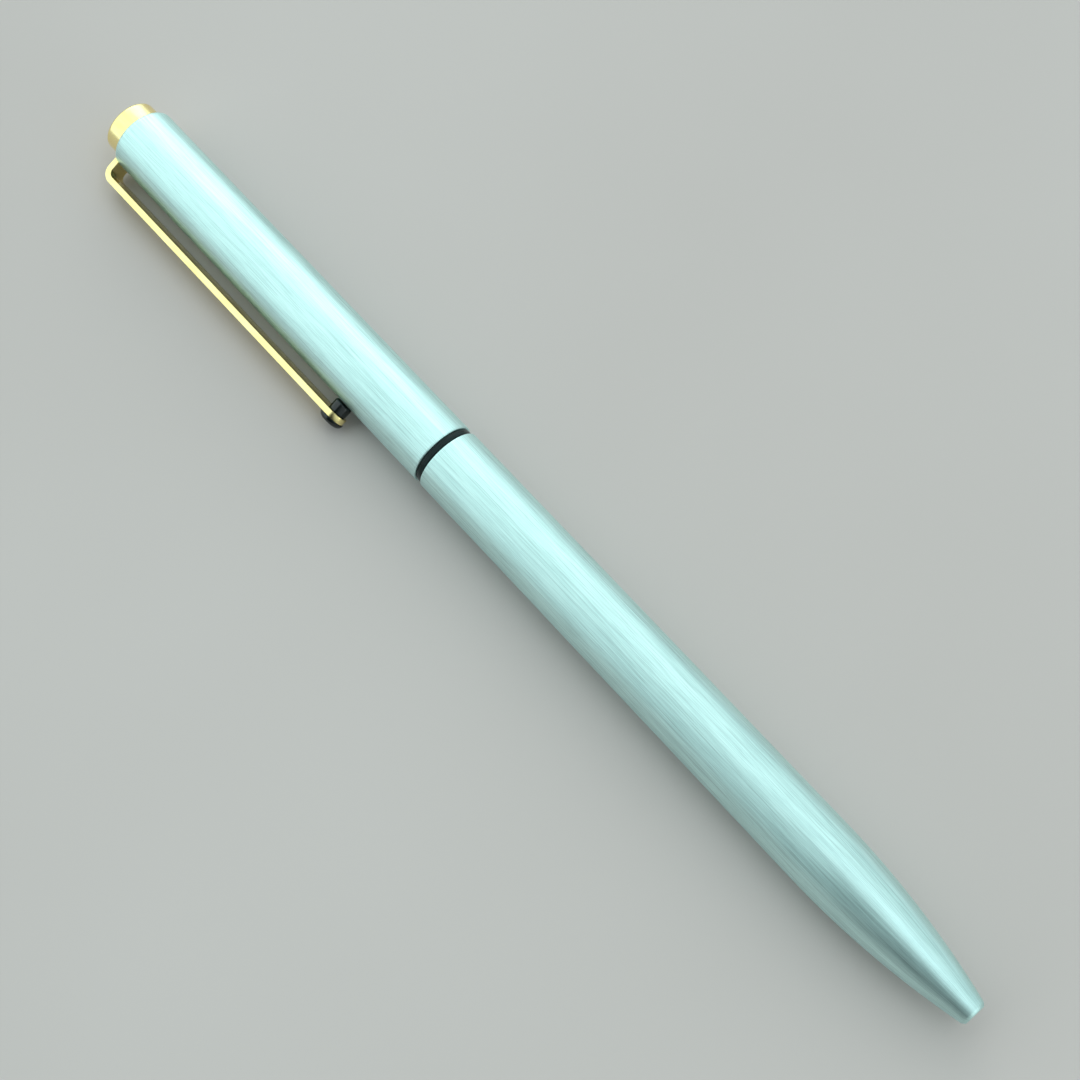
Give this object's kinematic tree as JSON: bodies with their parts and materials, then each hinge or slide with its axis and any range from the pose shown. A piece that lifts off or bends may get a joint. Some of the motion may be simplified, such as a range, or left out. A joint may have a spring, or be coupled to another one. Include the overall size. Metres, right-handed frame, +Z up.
{
  "type": "rollerball pen",
  "caption": "Slim capless twist-action rollerball pen with a brushed metal barrel, black centre ring, gold strip clip with a black button tip and a gold finial.",
  "frame": {"origin": "on the resting surface, under the middle of the pen's box", "axes": "+X along the pen axis towards the nose, +Z up, the clip on the -Y side resting its button on the surface"},
  "size_m": [0.134, 0.0104, 0.0078],
  "materials": {
    "satin_steel": "fine lengthwise brushed satin",
    "gold_plate": "polished gold plate",
    "ring_black": "semi-gloss black",
    "button_black": "gloss black",
    "brass": "turned brass",
    "spring_steel": "drawn stainless wire",
    "stainless": "turned stainless steel",
    "rubber": "matt black rubber",
    "nylon": "natural nylon",
    "refill_plastic": "translucent white polypropylene",
    "refill_black": "moulded black polypropylene",
    "ink_fibre": "ink-soaked fibre",
    "carbide": "polished tungsten carbide"
  },
  "bodies": {
    "core": {"mechanism_housing": "brass", "centre_ring": "ring_black", "friction_o_ring": "rubber", "thrust_washer": "nylon", "retaining_ring": "spring_steel"},
    "barrel": {"lower_barrel": "satin_steel", "barrel_insert": "brass", "return_spring": "spring_steel"},
    "upper": {"upper_barrel": "satin_steel", "cam_sleeve": "brass", "anchor_plug": "brass", "clip_root": "gold_plate", "finial": "gold_plate", "finial_stud": "stainless"},
    "clip": {"clip_strip": "gold_plate", "clip_button": "button_black"},
    "refill": {"refill_tube": "refill_plastic", "ink_reservoir": "ink_fibre", "feed_wick": "ink_fibre", "point_holder": "refill_black", "refill_point": "stainless", "rear_plug": "refill_black", "plunger": "nylon", "drive_pin": "stainless"},
    "ball": {"writing_ball": "carbide"}
  },
  "joints": [
    {"name": "barrel_draw", "type": "slide", "parent": "core", "child": "barrel", "axis": [1, 0, 0], "range_m": [0, 0.08]},
    {"name": "twist", "type": "hinge", "parent": "core", "child": "upper", "pos_m": [-0.023, 0.00127, 0.0039], "axis": [1, 0, 0], "range_deg": [0, 180]},
    {"name": "clip_flex", "type": "hinge", "parent": "upper", "child": "clip", "pos_m": [-0.06415, -0.0026, 0.00214], "axis": [0, 0.4134, -0.9105], "range_deg": [0, 4], "stiffness_Nm_per_rad": 4},
    {"name": "refill_feed", "type": "slide", "parent": "core", "child": "refill", "axis": [1, 0, 0], "range_m": [0, 0.0032], "deforming": ["return_spring"]},
    {"name": "ball_roll", "type": "hinge", "parent": "refill", "child": "ball", "pos_m": [0.06585, 0.00127, 0.0039], "axis": [0, 1, 0], "continuous": true}
  ],
  "couplings": [
    {"joint": "twist", "follows": "refill_feed", "rad_per_m": 981.75}
  ]
}
